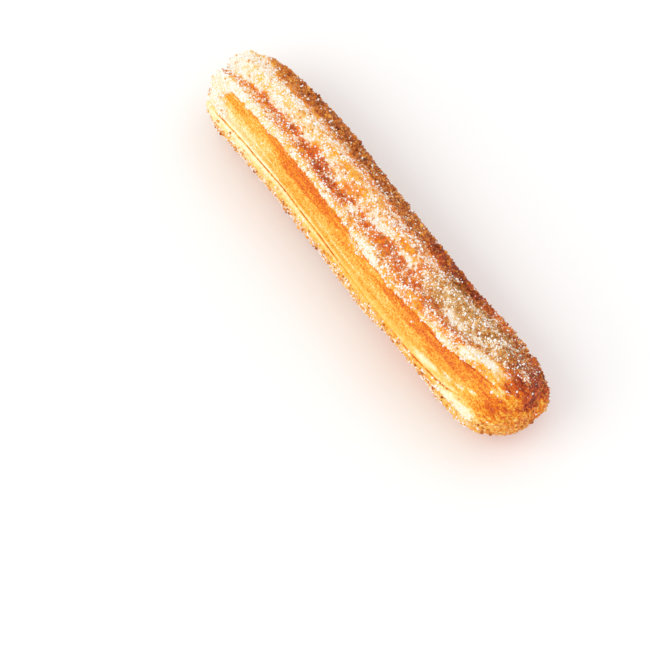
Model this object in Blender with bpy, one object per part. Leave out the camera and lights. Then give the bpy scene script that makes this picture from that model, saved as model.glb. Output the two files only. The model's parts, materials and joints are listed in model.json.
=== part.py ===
"""A churro: one stick of dough pressed through a star nozzle, fried, and lying on two of its ridges.

Metres, +Z up. +X runs along the stick, from its blunt end to its rounded end. The origin is on the
surface that the stick lies on, under the middle of its box. Angles around the stick are in degrees
from straight up, and grow towards +Y.
"""

import math
from typing import NamedTuple

import bmesh
import bpy
from mathutils import Vector, noise

# Driving dimensions
LENGTH = 0.120
CREST_RADIUS = 0.0130
AXIS_HEIGHT = 0.0115
BLUNT_CAP = 0.0100
ROUND_CAP = 0.0128

# How the stick departs from a straight, even bar
SIDE_BEND = 0.0009
BEND_WAVELENGTH = 0.106
ARCH = 0.0002
TWIST = 12.0
TWIST_START = 0.000
TWIST_END = 0.040
BLUNT_TAPER = 0.060
ROUND_TAPER = 0.050
TAPER_REACH = 0.029
UNEVENNESS = 0.00030
UNEVEN_SPACING = 0.012
UNEVEN_CLOSENESS = 1.4

# The two ends
BLUNT_POWER = 0.86
ROUND_POWER = 0.92
BUMP = 0.0011
ROUND_FADE_NEAR = 0.004
ROUND_FADE_FAR = 0.018
DIMPLE = 0.0007
PLEAT_DEPTH = 0.0005
PLEAT_CLOSENESS = 3.2
PLEAT_FULL = 0.5 * ROUND_CAP
PLEAT_GONE = 1.4 * ROUND_CAP
POCKET_REACH = 3.0

# Mesh density
STEP_ANGLE = 5.6
CAP_RINGS = 9
BARREL_RINGS = 46

DOUGH_COLOR = (0.80, 0.36, 0.07, 1.0)
DOUGH_ROUGHNESS = 0.62


class Ridge(NamedTuple):
    """A ridge's crest angle, and the groove between it and the next ridge.

    skew moves the groove's floor: above 1 towards the next ridge, below 1 towards this one. breadth is
    low for a wide channel and high for a narrow one. pocket is how far from the blunt tip the groove
    first opens, and 0 lets it run over the tip.
    """

    angle: float
    depth: float
    skew: float
    breadth: float
    pocket: float


RIDGES = (
    Ridge(angle=-79.0, depth=0.0027, skew=1.25, breadth=1.05, pocket=0.0030),
    Ridge(angle=-22.0, depth=0.0025, skew=0.85, breadth=1.50, pocket=0.0),
    Ridge(angle=12.0, depth=0.0024, skew=1.15, breadth=1.40, pocket=0.0),
    Ridge(angle=61.0, depth=0.0022, skew=1.00, breadth=1.30, pocket=0.0),
    Ridge(angle=109.0, depth=0.0020, skew=0.92, breadth=1.20, pocket=0.0),
    Ridge(angle=157.0, depth=0.0021, skew=1.00, breadth=1.10, pocket=0.0),
    Ridge(angle=201.0, depth=0.0020, skew=1.05, breadth=1.30, pocket=0.0),
    Ridge(angle=237.0, depth=0.0020, skew=0.95, breadth=1.30, pocket=0.0),
)


class Ray(NamedTuple):
    """One direction of the star section.

    share is how much of the groove's depth it meets, and wave rises and falls evenly across the groove.
    """

    angle: float
    share: float
    wave: float
    groove: Ridge


def smooth_step(value: float, low: float, high: float) -> float:
    """Ease from 0 at low to 1 at high."""
    t = min(max((value - low) / (high - low), 0.0), 1.0)
    return t * t * (3.0 - 2.0 * t)


def star_rays() -> list[Ray]:
    """Walk once around the star section, crest to crest."""
    rays = []
    for index, ridge in enumerate(RIDGES):
        next_angle = RIDGES[(index + 1) % len(RIDGES)].angle
        gap = (next_angle - ridge.angle) % 360.0
        steps = round(gap / STEP_ANGLE)
        for step in range(steps):
            t = step / steps
            share = math.sin(math.pi * t ** ridge.skew) ** ridge.breadth
            wave = 0.5 - 0.5 * math.cos(2.0 * math.pi * t)
            rays.append(Ray(ridge.angle + t * gap, share, wave, ridge))
    return rays


def centre_line(x: float) -> tuple[float, float]:
    """Give the Y and Z of the stick's gently bent axis at x."""
    y = -SIDE_BEND * math.sin(2.0 * math.pi * x / BEND_WAVELENGTH)
    z = AXIS_HEIGHT + ARCH * math.cos(math.pi * x / LENGTH)
    return y, z


def girth(x: float) -> float:
    """Give the crest radius at x, which slims a little towards both ends."""
    blunt = BLUNT_TAPER * (1.0 - smooth_step(x + LENGTH / 2, 0.0, TAPER_REACH))
    rounded = ROUND_TAPER * (1.0 - smooth_step(LENGTH / 2 - x, 0.0, TAPER_REACH))
    return CREST_RADIUS * (1.0 - blunt - rounded)


def twisted(angle: float, x: float) -> float:
    """Turn an angle by the twist of the upper side; the underside stays level."""
    upper = 0.5 + 0.5 * math.cos(math.radians(angle))
    return angle + TWIST * upper * smooth_step(x, TWIST_START, TWIST_END)


def groove_depth(ray: Ray, x: float) -> float:
    """Give the depth of a ray's groove at x, fading out towards the rounded end."""
    to_round_tip = LENGTH / 2 - x
    fade = smooth_step(to_round_tip, ROUND_FADE_NEAR, ROUND_FADE_FAR)
    if ray.groove.pocket:
        from_blunt_tip = x + LENGTH / 2
        fade *= smooth_step(from_blunt_tip, ray.groove.pocket, POCKET_REACH * ray.groove.pocket)
    return ray.groove.depth * ray.share * fade


def pleat(ray: Ray, x: float) -> float:
    """Give the depth of the shallow creases that gather at the rounded end."""
    to_round_tip = LENGTH / 2 - x
    near_end = 1.0 - smooth_step(to_round_tip, PLEAT_FULL, PLEAT_GONE)
    angle = math.radians(ray.angle)
    place = Vector((math.cos(angle), math.sin(angle), 0.0)) * PLEAT_CLOSENESS
    return PLEAT_DEPTH * near_end * (1.0 + noise.noise(place))


def unevenness(ray: Ray, x: float) -> float:
    """Give the slow swelling and shrinking of the crust at one place."""
    angle = math.radians(ray.angle)
    across = UNEVEN_CLOSENESS * math.cos(angle)
    upright = UNEVEN_CLOSENESS * math.sin(angle)
    return UNEVENNESS * noise.noise(Vector((x / UNEVEN_SPACING, across, upright)))


def crust_point(ray: Ray, x: float, scale: float, inset: float) -> Vector:
    """Place one crust point.

    scale shrinks the section over an end cap, and inset draws the grooves back from the blunt tip.
    Points below the surface that the stick lies on are flattened onto it.
    """
    y0, z0 = centre_line(x)
    radius = girth(x) - groove_depth(ray, x) - pleat(ray, x) + unevenness(ray, x)
    angle = math.radians(twisted(ray.angle, x))
    y = y0 + scale * radius * math.sin(angle)
    z = z0 + scale * radius * math.cos(angle)
    return Vector((x + inset * ray.wave, y, max(z, 0.0)))


def stations() -> list[tuple[float, float, float]]:
    """List each ring's x, the scale of its section, and how far its grooves are drawn back."""
    rings = []
    for ring in range(1, CAP_RINGS + 1):
        turn = math.radians(90.0 * (ring - 0.5) / (CAP_RINGS - 0.5))
        x = -LENGTH / 2 + BLUNT_CAP * (1.0 - math.cos(turn))
        rings.append((x, math.sin(turn) ** BLUNT_POWER, BUMP * math.sin(2.0 * turn)))
    barrel = LENGTH - BLUNT_CAP - ROUND_CAP
    for ring in range(1, BARREL_RINGS):
        rings.append((-LENGTH / 2 + BLUNT_CAP + barrel * ring / BARREL_RINGS, 1.0, 0.0))
    for ring in range(CAP_RINGS, 0, -1):
        turn = math.radians(90.0 * ring / CAP_RINGS)
        rings.append((LENGTH / 2 - ROUND_CAP * (1.0 - math.cos(turn)), math.sin(turn) ** ROUND_POWER, 0.0))
    return rings


def dough_material() -> bpy.types.Material:
    """Make fried dough: golden brown and half matt."""
    material = bpy.data.materials.new("fried_dough")
    material.use_nodes = True
    shader = material.node_tree.nodes["Principled BSDF"]
    shader.inputs["Base Color"].default_value = DOUGH_COLOR
    shader.inputs["Roughness"].default_value = DOUGH_ROUGHNESS
    return material


def close_tip(shell: bmesh.types.BMesh, ring: list[bmesh.types.BMVert], x: float) -> None:
    """Fan a ring of vertices in to a tip on the centre line."""
    y, z = centre_line(x)
    tip = shell.verts.new((x, y, z))
    for index, corner in enumerate(ring):
        shell.faces.new((corner, ring[(index + 1) % len(ring)], tip))


def stand_over_origin(shell: bmesh.types.BMesh) -> None:
    """Slide the stick along the surface until the middle of its box is over the origin."""
    for axis in (0, 1):
        places = [vertex.co[axis] for vertex in shell.verts]
        middle = (min(places) + max(places)) / 2.0
        for vertex in shell.verts:
            vertex.co[axis] -= middle


def build_churro() -> bpy.types.Object:
    """Press out the star section ring by ring, close both tips, and make the object."""
    rays = star_rays()
    shell = bmesh.new()
    rings = []
    for x, scale, inset in stations():
        rings.append([shell.verts.new(crust_point(ray, x, scale, inset)) for ray in rays])
    for ring, following in zip(rings, rings[1:]):
        for index in range(len(rays)):
            neighbour = (index + 1) % len(rays)
            shell.faces.new((ring[index], ring[neighbour], following[neighbour], following[index]))
    close_tip(shell, rings[0], -LENGTH / 2 + DIMPLE)
    close_tip(shell, rings[-1], LENGTH / 2)
    stand_over_origin(shell)
    bmesh.ops.recalc_face_normals(shell, faces=shell.faces)
    mesh = bpy.data.meshes.new("churro")
    shell.to_mesh(mesh)
    shell.free()
    mesh.shade_smooth()
    mesh.materials.append(dough_material())
    churro = bpy.data.objects.new("churro", mesh)
    bpy.context.collection.objects.link(churro)
    return churro


for leftover in list(bpy.data.objects):
    bpy.data.objects.remove(leftover, do_unlink=True)
build_churro()
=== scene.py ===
"""The looks of a churro: a fried, ridged stick of dough with its coat of sugar, crumbs and browned grains.

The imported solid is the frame. A refined copy of it becomes the crust, and every grain of the coat is a
small solid of its own, sown over that crust. Metres, +Z up, +X from the blunt end to the rounded end.
"""

import json
import logging
import math
from dataclasses import dataclass
from enum import Enum
from typing import Any

import bpy
import numpy as np
from bpy.types import ColorRamp, Material, Node, NodeSocket, NodeTree, Object
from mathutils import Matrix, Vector, noise

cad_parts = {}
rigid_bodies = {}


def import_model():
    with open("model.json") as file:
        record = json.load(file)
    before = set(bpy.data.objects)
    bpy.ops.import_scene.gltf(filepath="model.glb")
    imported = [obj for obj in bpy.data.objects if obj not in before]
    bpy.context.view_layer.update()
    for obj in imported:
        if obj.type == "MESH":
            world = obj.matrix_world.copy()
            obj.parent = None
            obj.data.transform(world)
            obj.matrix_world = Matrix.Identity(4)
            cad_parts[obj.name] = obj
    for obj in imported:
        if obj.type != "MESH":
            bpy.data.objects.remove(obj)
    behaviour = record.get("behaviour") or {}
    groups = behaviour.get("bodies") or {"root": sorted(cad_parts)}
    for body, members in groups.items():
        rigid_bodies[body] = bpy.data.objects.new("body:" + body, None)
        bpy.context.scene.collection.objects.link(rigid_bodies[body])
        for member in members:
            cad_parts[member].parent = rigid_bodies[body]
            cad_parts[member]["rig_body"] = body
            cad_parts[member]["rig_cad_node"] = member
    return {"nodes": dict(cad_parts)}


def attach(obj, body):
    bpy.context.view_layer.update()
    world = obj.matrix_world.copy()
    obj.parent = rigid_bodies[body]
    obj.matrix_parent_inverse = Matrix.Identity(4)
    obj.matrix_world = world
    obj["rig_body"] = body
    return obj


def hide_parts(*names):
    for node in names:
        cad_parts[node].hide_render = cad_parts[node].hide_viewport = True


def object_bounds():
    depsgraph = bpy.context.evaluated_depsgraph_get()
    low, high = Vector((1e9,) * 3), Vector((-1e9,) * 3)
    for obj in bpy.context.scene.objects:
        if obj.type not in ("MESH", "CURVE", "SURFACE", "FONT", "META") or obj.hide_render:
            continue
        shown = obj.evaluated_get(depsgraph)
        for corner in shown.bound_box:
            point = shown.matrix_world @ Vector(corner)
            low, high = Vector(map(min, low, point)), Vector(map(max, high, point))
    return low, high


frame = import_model()
CAD_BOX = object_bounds()

BODY = "root"
NODE = "churro"
MM = 0.001
SQUARE_CM = 0.0001

# The places of a Mix node's inputs, and of the least and the most that a Random Value node draws
NUMBER_A, NUMBER_B = 2, 3
COLOUR_A, COLOUR_B = 6, 7
DRAWN = {"FLOAT": (2, 3), "FLOAT_VECTOR": (0, 1)}

Span = tuple[float, float]
Row = tuple[float, ...]
Stops = tuple[tuple[float, str], ...]
Weights = tuple[tuple[str, float], ...]
Patterns = dict[str, NodeSocket]

log = logging.getLogger("churro")


# Shared tools


def linear(hex_colour: str) -> Row:
    """Turn an sRGB hex colour into linear light, by the sRGB standard's own curve.

    Args:
        hex_colour: a hash and six hex digits.

    Returns:
        Red, green, blue and alpha, from 0 to 1.
    """
    channels = []
    for start in (1, 3, 5):
        value = int(hex_colour[start:start + 2], 16) / 255.0
        channels.append(value / 12.92 if value <= 0.04045 else ((value + 0.055) / 1.055) ** 2.4)
    return (*channels, 1.0)


def ease(values: np.ndarray, low: float, high: float) -> np.ndarray:
    """Ease values smoothly from 0 at low to 1 at high.

    Args:
        values: the numbers to ease.
        low: where the result is 0.
        high: where the result is 1.

    Returns:
        The eased numbers.
    """
    t = np.clip((values - low) / (high - low), 0.0, 1.0)
    return t * t * (3.0 - 2.0 * t)


def turn_from(line: float, around: np.ndarray) -> np.ndarray:
    """Measure angles from a line along the stick, the shorter way round.

    Args:
        line: the line's angle.
        around: the angles to measure.

    Returns:
        The turn from the line to each, from -180 to 180 degrees.
    """
    return (around - line + 180.0) % 360.0 - 180.0


@dataclass(frozen=True)
class Noise:
    """Smooth noise with waves of one size. The seed shifts it, so that two uses differ."""

    size: float
    seed: float

    def read(self, points: np.ndarray) -> np.ndarray:
        """Read the noise at each point.

        Args:
            points: one row of X, Y and Z for each place.

        Returns:
            One number from about -1 to 1 for each point.
        """
        return np.array([noise.noise(Vector(place)) for place in points / self.size + self.seed])


def connect(tree: NodeTree, node: Node, links: dict) -> None:
    """Give a node's inputs their links and values.

    Args:
        tree: the node tree that holds the node.
        node: the node.
        links: what each input takes, by the input's name or place: an output socket, a plain value,
            or another node, which gives its first output in use.
    """
    for key, value in links.items():
        if isinstance(value, Node):
            value = next(output for output in value.outputs if output.enabled)
        if isinstance(value, NodeSocket):
            tree.links.new(value, node.inputs[key])
        else:
            node.inputs[key].default_value = value


def add_node(tree: NodeTree, kind: str, links: dict | None = None, **settings: Any) -> Node:
    """Add a node with its settings and links.

    Args:
        tree: the node tree to add to.
        kind: the node's type name.
        links: what each input takes, as connect reads it.
        settings: the node's own properties.

    Returns:
        The new node.
    """
    node = tree.nodes.new(kind)
    for name, value in settings.items():
        setattr(node, name, value)
    connect(tree, node, links or {})
    return node


def new_material(name: str) -> tuple[Material, NodeTree, Node]:
    """Start a material.

    Args:
        name: the material's name.

    Returns:
        The material, its node tree and its shader.
    """
    material = bpy.data.materials.new(name)
    material.use_nodes = True
    return material, material.node_tree, material.node_tree.nodes["Principled BSDF"]


def set_stops(band: ColorRamp, stops: Stops) -> None:
    """Give a colour band its stops.

    Args:
        band: the band to fill.
        stops: each stop's place and sRGB hex colour, in order.
    """
    while len(band.elements) < len(stops):
        band.elements.new(1.0)
    for element, (place, colour) in zip(band.elements, stops):
        element.position = place
        element.color = linear(colour)


def select_only(piece: Object) -> None:
    """Select one object and make it the active one.

    Args:
        piece: the object to work on.
    """
    bpy.ops.object.select_all(action="DESELECT")
    piece.select_set(True)
    bpy.context.view_layer.objects.active = piece


def apply_modifier(piece: Object, kind: str, **settings: Any) -> None:
    """Add a modifier to a piece, set it and apply it.

    Args:
        piece: the object to change.
        kind: the modifier's type name.
        settings: the modifier's own properties.
    """
    select_only(piece)
    bpy.ops.object.modifier_add(type=kind)
    modifier = piece.modifiers[-1]
    for name, value in settings.items():
        setattr(modifier, name, value)
    bpy.ops.object.modifier_apply(modifier=modifier.name)


def ride(piece: Object) -> None:
    """Let a finished piece move with the churro.

    Args:
        piece: the finished piece.
    """
    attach(piece, BODY)
    log.info("%s: %d faces", piece.name, len(piece.data.polygons))


# Where things lie on the stick: along is a share of its length from the blunt tip, around is degrees


@dataclass(frozen=True)
class StickAxis:
    """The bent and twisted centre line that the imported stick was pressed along."""

    length: float = 120.0 * MM
    height: float = 11.5 * MM
    side_shift: float = 0.194 * MM
    side_bend: float = 0.9 * MM
    bend_wavelength: float = 106.0 * MM
    arch: float = 0.2 * MM
    twist: float = 12.0
    twist_end: float = 40.0 * MM
    untwist_rounds: int = 4
    seam: float = -123.0

    def coordinates(self, points: np.ndarray) -> tuple[np.ndarray, np.ndarray]:
        """Find each point's place along and around the stick.

        Args:
            points: one row of X, Y and Z for each point.

        Returns:
            The share of the length from the blunt tip, and the untwisted angle from straight up towards
            +Y, in one turn of degrees from the seam.
        """
        x = points[:, 0]
        middle_y = self.side_shift - self.side_bend * np.sin(2.0 * math.pi * x / self.bend_wavelength)
        middle_z = self.height + self.arch * np.cos(math.pi * x / self.length)
        turned = np.degrees(np.arctan2(points[:, 1] - middle_y, points[:, 2] - middle_z))
        twist = self.twist * ease(x, 0.0, self.twist_end)
        around = turned
        for _ in range(self.untwist_rounds):
            around = turned - twist * (0.5 + 0.5 * np.cos(np.radians(around)))
        around = (around - self.seam) % 360.0 + self.seam
        return x / self.length + 0.5, around


@dataclass(frozen=True)
class Band:
    """How one line along the stick fried and took its sugar; painted light and shade are folded into its
    browning.

    Each tuple runs along the stick in hundredths, one for each of STATIONS.
    """

    angle: float
    browning: tuple[int, ...]
    sugar: tuple[int, ...]


STATIONS = (0.015, 0.06, 0.20, 0.45, 0.80, 0.89, 0.95, 0.99)

# towards the rounded end and on the +Y side browning rises and sugar falls: partly the fry, partly painted
# shade on the end and the side turned from the light
BANDS = (
    # lip: a golden outer edge, then smooth cream up to the crease, the cream partly a painted highlight on
    # the lit lip
    Band(-92.0, (20, 22, 26, 28, 24, 14, 26, 36), (60, 50, 46, 46, 46, 40, 24, 16)),
    Band(-81.0, (16, 16, 20, 28, 32, 6, 30, 36), (62, 52, 46, 48, 50, 34, 20, 14)),
    Band(-75.0, (8, 6, 8, 24, 28, 3, 28, 36), (60, 36, 26, 36, 44, 20, 16, 12)),
    Band(-69.0, (8, 6, 8, 20, 22, 18, 36, 38), (64, 20, 6, 12, 14, 14, 12, 10)),
    # wide channel: its bare floor, then its orange flank, darker partly as painted shade under the narrow
    # ridge
    Band(-62.0, (12, 10, 14, 24, 26, 28, 44, 38), (80, 14, 3, 3, 4, 12, 10, 10)),
    Band(-53.0, (16, 20, 25, 26, 30, 33, 50, 38), (85, 6, 2, 2, 4, 10, 10, 10)),
    Band(-44.0, (18, 31, 32, 32, 40, 38, 50, 38), (85, 8, 2, 2, 4, 8, 10, 10)),
    Band(-37.0, (22, 33, 36, 42, 46, 42, 34, 36), (90, 14, 2, 2, 3, 8, 12, 10)),
    Band(-31.5, (22, 31, 40, 48, 50, 38, 30, 36), (94, 24, 5, 4, 5, 16, 14, 10)),
    # narrow ridge
    Band(-27.0, (12, 14, 20, 26, 24, 34, 34, 38), (105, 96, 80, 80, 70, 36, 24, 10)),
    Band(-18.0, (12, 16, 26, 36, 44, 22, 36, 38), (105, 94, 70, 62, 58, 66, 28, 10)),
    # narrow groove, reddish brown: fried colour, and painted shade in the groove
    Band(-10.0, (28, 30, 46, 52, 54, 10, 54, 42), (78, 78, 56, 48, 52, 100, 26, 12)),
    Band(-3.0, (42, 48, 60, 60, 58, 46, 78, 50), (62, 58, 40, 40, 48, 66, 24, 12)),
    # broad ridge
    Band(5.0, (12, 16, 28, 36, 54, 66, 84, 60), (100, 90, 74, 70, 56, 46, 24, 14)),
    Band(17.0, (12, 20, 27, 36, 58, 70, 88, 62), (102, 84, 76, 64, 56, 46, 24, 14)),
    Band(28.0, (14, 26, 34, 38, 58, 72, 88, 64), (100, 80, 64, 62, 56, 46, 24, 16)),
    Band(38.0, (16, 34, 42, 44, 50, 72, 86, 64), (95, 66, 52, 56, 54, 42, 24, 18)),
    # dark valley and the ridge past it: fried brown, and painted shade on the side turned from the light
    Band(47.0, (24, 48, 66, 68, 60, 72, 84, 64), (85, 40, 26, 36, 52, 42, 26, 18)),
    Band(61.0, (46, 60, 72, 74, 64, 72, 80, 64), (52, 30, 22, 30, 48, 42, 28, 20)),
    Band(85.0, (50, 62, 70, 76, 74, 74, 72, 56), (44, 20, 16, 18, 20, 20, 20, 18)),
    # the far side and the underside
    Band(109.0, (36, 48, 54, 60, 58, 58, 60, 50), (84, 70, 60, 56, 50, 42, 28, 16)),
    Band(133.0, (44, 60, 68, 70, 70, 66, 60, 50), (50, 18, 12, 12, 14, 14, 14, 12)),
    Band(157.0, (34, 40, 46, 50, 50, 50, 50, 46), (76, 56, 48, 46, 44, 36, 24, 14)),
    Band(179.0, (42, 50, 56, 58, 58, 58, 54, 44), (50, 18, 12, 12, 14, 14, 14, 12)),
    Band(201.0, (32, 36, 40, 44, 44, 46, 46, 42), (76, 56, 48, 46, 44, 36, 24, 14)),
    Band(219.0, (34, 38, 42, 44, 44, 44, 44, 40), (50, 20, 14, 14, 16, 16, 14, 12)),
    Band(237.0, (26, 28, 32, 34, 28, 22, 34, 38), (82, 64, 58, 54, 50, 42, 26, 14)),
    Band(254.0, (28, 32, 36, 34, 26, 18, 32, 38), (66, 38, 32, 30, 30, 26, 18, 12)),
)


@dataclass(frozen=True)
class Patch:
    """A spot that differs from the bands around it, fully so over the heart of its length and width."""

    along: float
    around: float
    length: float
    width: float
    browning: float
    sugar: float
    heart: float = 0.35

    def weight(self, along: np.ndarray, around: np.ndarray) -> np.ndarray:
        """Weigh how far inside the spot each point lies.

        Args:
            along: the share of the length of each point.
            around: the angle of each point.

        Returns:
            1 at its heart, 0 past its size.
        """
        reach = np.hypot((along - self.along) / self.length, (around - self.around) / self.width)
        return 1.0 - ease(reach, self.heart, 1.0)


# Each in order: along, around, length, width, browning and shading, sugar
PATCHES = (
    # the flank of the channel, orange well down its side: fried colour, and painted shade under the narrow
    # ridge
    Patch(0.330, -41.0, 0.150, 14.0, 0.47, 0.03),
    Patch(0.760, -42.0, 0.120, 9.0, 0.44, 0.03),
    # golden dough showing on the broad ridge and the narrow one where the sugar fell off
    Patch(0.390, 16.0, 0.042, 8.0, 0.36, 0.30),
    Patch(0.585, 11.0, 0.036, 6.0, 0.40, 0.32),
    Patch(0.140, 36.0, 0.060, 6.0, 0.40, 0.30),
    Patch(0.470, 24.0, 0.050, 6.0, 0.38, 0.36),
    Patch(0.425, 8.0, 0.050, 8.0, 0.38, 0.44),
    Patch(0.672, -22.0, 0.046, 9.0, 0.42, 0.46),
    Patch(0.620, -27.0, 0.036, 6.0, 0.32, 0.48),
    # a stretch of the far ridge made dark red with little sugar, and the broad ridge's side by it darker
    Patch(0.670, 57.0, 0.130, 19.0, 0.78, 0.16),
    Patch(0.690, 42.0, 0.060, 9.0, 0.70, 0.34),
    Patch(0.705, 28.0, 0.056, 11.0, 0.58, 0.42),
    # drifts of sugar
    Patch(0.500, 3.0, 0.070, 8.0, 0.36, 0.84),
    Patch(0.600, 2.5, 0.040, 5.5, 0.30, 0.96),
    Patch(0.760, 2.0, 0.050, 8.0, 0.38, 0.80),
    Patch(0.532, -24.0, 0.060, 9.0, 0.08, 1.00),
    Patch(0.780, -27.0, 0.040, 5.0, 0.06, 1.00),
    # partly sugar, partly a painted highlight on the narrow ridge near the rounded end
    Patch(0.836, -19.0, 0.034, 7.0, 0.06, 0.92),
    Patch(0.862, -10.0, 0.044, 9.0, 0.03, 1.05),
    Patch(0.848, 6.0, 0.034, 8.0, 0.48, 0.72),
    Patch(0.938, 14.0, 0.024, 10.0, 0.62, 0.72),
    # loose grains on the channel's floor
    Patch(0.500, -36.0, 0.040, 8.0, 0.27, 0.46),
    Patch(0.580, -36.0, 0.050, 5.0, 0.32, 0.24),
    Patch(0.680, -40.0, 0.060, 4.0, 0.34, 0.26),
    Patch(0.835, -62.0, 0.018, 4.0, 0.05, 0.36),
    Patch(0.866, -60.0, 0.018, 4.0, 0.06, 0.34),
    Patch(0.894, -55.0, 0.018, 4.0, 0.08, 0.34),
    Patch(0.912, -31.0, 0.009, 4.0, 0.12, 0.56),
    # dark spots in the narrow groove, and a sugared one past them
    Patch(0.315, 2.0, 0.060, 7.0, 0.62, 0.34),
    Patch(0.350, -5.0, 0.050, 7.0, 0.66, 0.30),
    Patch(0.450, -9.0, 0.030, 8.0, 0.38, 0.74),
    # the groove's start, where it rounds the blunt end
    Patch(0.026, -9.0, 0.030, 9.0, 0.52, 0.44),
    # the channel's floor fades to cream towards the blunt end
    Patch(0.095, -60.0, 0.050, 10.0, 0.08, 0.26),
    Patch(0.165, -60.0, 0.050, 8.0, 0.10, 0.16),
    Patch(0.205, -54.0, 0.026, 8.0, 0.18, 0.12),
    Patch(0.178, -43.0, 0.052, 12.0, 0.25, 0.05),
    Patch(0.330, -60.0, 0.080, 8.0, 0.31, 0.03),
    # painted highlights as pale streaks on the channel's floor and on the lip, then the dark line that
    # sets off the end's rim
    Patch(0.776, -67.0, 0.050, 4.5, 0.04, 0.10),
    Patch(0.893, -79.0, 0.062, 9.0, -0.04, 0.50),
    Patch(0.958, -50.0, 0.034, 18.0, 0.50, 0.12),
    Patch(0.938, -35.0, 0.024, 8.0, 0.22, 0.42),
    Patch(0.944, -17.0, 0.020, 10.0, 0.68, 0.20),
    Patch(0.984, 8.0, 0.009, 56.0, 0.74, 0.06),
)


@dataclass(frozen=True)
class Zone:
    """A stretch of the stick with soft edges, in shares of its length and degrees around it."""

    along: Span
    around: Span
    along_edge: float
    around_edge: float

    def weight(self, along: np.ndarray, around: np.ndarray) -> np.ndarray:
        """Weigh how far inside the zone each point lies.

        Args:
            along: the share of the length of each point.
            around: the angle of each point.

        Returns:
            1 inside, 0 outside, eased over the edges.
        """
        middle = sum(self.around) / 2.0
        sides = []
        for values, (low, high), edge in (
                (along, self.along, self.along_edge),
                (turn_from(middle, around) + middle, self.around, self.around_edge)):
            sides.append(ease(values, low - edge, low) * (1.0 - ease(values, high, high + edge)))
        return sides[0] * sides[1]


# Each in order: the stretch along, the stretch around, and how wide the soft edges of each are
# duller, darker tones under the sugar, on the broad ridge and on the far side: partly fried tone,
# partly painted shade towards the rounded end and on the side turned from the light
DUSKY = Zone((0.70, 0.865), (4.0, 42.0), 0.08, 12.0)
EARTHY = Zone((-0.1, 0.54), (46.0, 130.0), 0.10, 8.0)
# where crumbs cover the crust
CRUMBLY_SIDE = Zone((0.0, 1.1), (52.0, 118.0), 0.05, 8.0)
CRUMBLY_CAP = Zone((0.988, 1.1), (-130.0, 240.0), 0.014, 1.0)
# the bare channel, and the stretches whose lines swing to and fro
CHANNEL = Zone((0.085, 0.87), (-62.0, -32.0), 0.02, 3.0)
SWEPT = Zone((0.0, 1.0), (-50.0, -24.0), 0.01, 18.0)
GROOVE = Zone((0.0, 1.0), (-14.0, 0.0), 0.01, 12.0)
# the rounded end: the line before its rim, the rim's two golden sides, and its smooth cap
RIM_LINE = Zone((0.981, 0.985), (-80.0, 50.0), 0.008, 20.0)
GOLDEN_RIM = Zone((0.994, 1.1), (-100.0, 24.0), 0.006, 30.0)
UPPER_RIM = Zone((0.985, 1.1), (52.0, 92.0), 0.006, 22.0)
ROUND_CAP = Zone((0.91, 1.1), (-110.0, -6.0), 0.04, 16.0)
# where the lines turn back at the blunt end
BLUNT_SHOULDER = Zone((-0.1, 1.1), (36.0, 70.0), 0.01, 16.0)


class Push(Enum):
    """Which way the crust is pressed: square to its own surface, or along the stick."""

    SURFACE = "NORMAL"
    STICK = "X"


@dataclass(frozen=True)
class Dent:
    """A place pressed in by its depth, or out where that is below zero.

    Along the stick, the depth moves it towards the blunt tip.
    """

    name: str
    zone: Zone
    depth: float
    push: Push = Push.SURFACE


DENTS = (
    # the blunt end: its two lobes stand out, with a notch between them and pared shoulders beside them
    Dent("upper_lobe", Zone((0.010, 0.022), (42.0, 84.0), 0.012, 26.0), 1.8 * MM, Push.STICK),
    Dent("lower_lobe", Zone((0.010, 0.030), (-60.0, -38.0), 0.011, 10.0), 0.8 * MM, Push.STICK),
    Dent("shoulder", Zone((-0.1, 0.06), (64.0, 92.0), 0.09, 12.0), 0.9 * MM),
    Dent("lip_corner", Zone((0.01, 0.03), (-110.0, -62.0), 0.02, 14.0), 0.9 * MM),
    Dent("lobe_notch", Zone((-0.1, 0.016), (-10.0, 6.0), 0.02, 12.0), 0.6 * MM),
    # the ridge under the lip, thinner along one stretch
    Dent("under_lip", Zone((0.69, 0.74), (-130.0, -114.0), 0.11, 14.0), 1.2 * MM),
    # a slight waist before the rounded end, the knob past it, and the lip's end
    Dent("waist", Zone((0.882, 0.893), (54.0, 80.0), 0.016, 12.0), 0.65 * MM),
    Dent("knob", Zone((0.970, 0.988), (60.0, 100.0), 0.014, 16.0), -0.9 * MM),
    Dent("lip_end", Zone((0.955, 0.975), (-118.0, -84.0), 0.020, 14.0), 0.4 * MM),
)


@dataclass(frozen=True)
class Crease:
    """A thin line along the stick, pressed into the crust and drawn brown by the finish: painted shade, with
    painted highlights on its edges.

    The stops are shares of the stick's length; at each, route gives the line's angle and strength how
    plainly it shows.
    """

    name: str
    stops: Row
    route: Row
    strength: Row
    tone: float
    highlight_tone: float
    depth: float
    widest: float = 12.0

    def offset(self, along: np.ndarray, around: np.ndarray) -> np.ndarray:
        """Measure how far each point lies from the line.

        Args:
            along: the share of the length of each point.
            around: the angle of each point.

        Returns:
            The angle from the line, in degrees, up to the widest.
        """
        return np.clip(around - np.interp(along, self.stops, self.route), -self.widest, self.widest)

    def shows(self, along: np.ndarray) -> np.ndarray:
        """Read how plainly the line shows at each share of the length."""
        return np.interp(along, self.stops, self.strength)


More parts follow.
